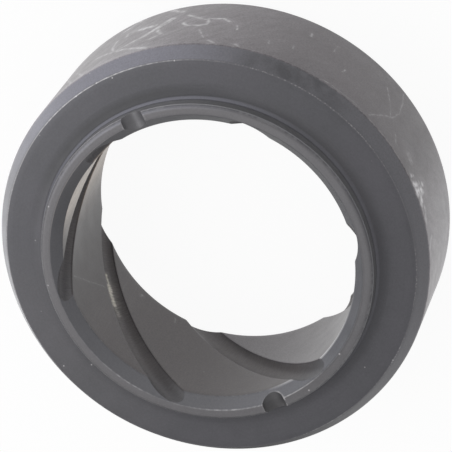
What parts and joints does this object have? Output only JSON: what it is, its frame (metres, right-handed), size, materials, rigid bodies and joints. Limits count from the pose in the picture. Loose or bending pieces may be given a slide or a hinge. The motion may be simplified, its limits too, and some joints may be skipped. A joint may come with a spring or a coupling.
{
  "type": "bushing",
  "caption": "Thick-walled steel bushing with a raised thrust lip, chamfered housing seat, helical grease grooves along the bore and round notches across the lip.",
  "frame": {"origin": "centre of the plain back end, on the surface that the bushing stands on", "axes": "+Z along the bore axis, from the plain back end to the thrust lip; the two lip notches lie on X"},
  "size_m": [0.148, 0.148, 0.0572],
  "materials": {
    "dark_steel": "satin"
  },
  "bodies": {
    "root": {"bushing": "dark_steel"}
  },
  "joints": []
}
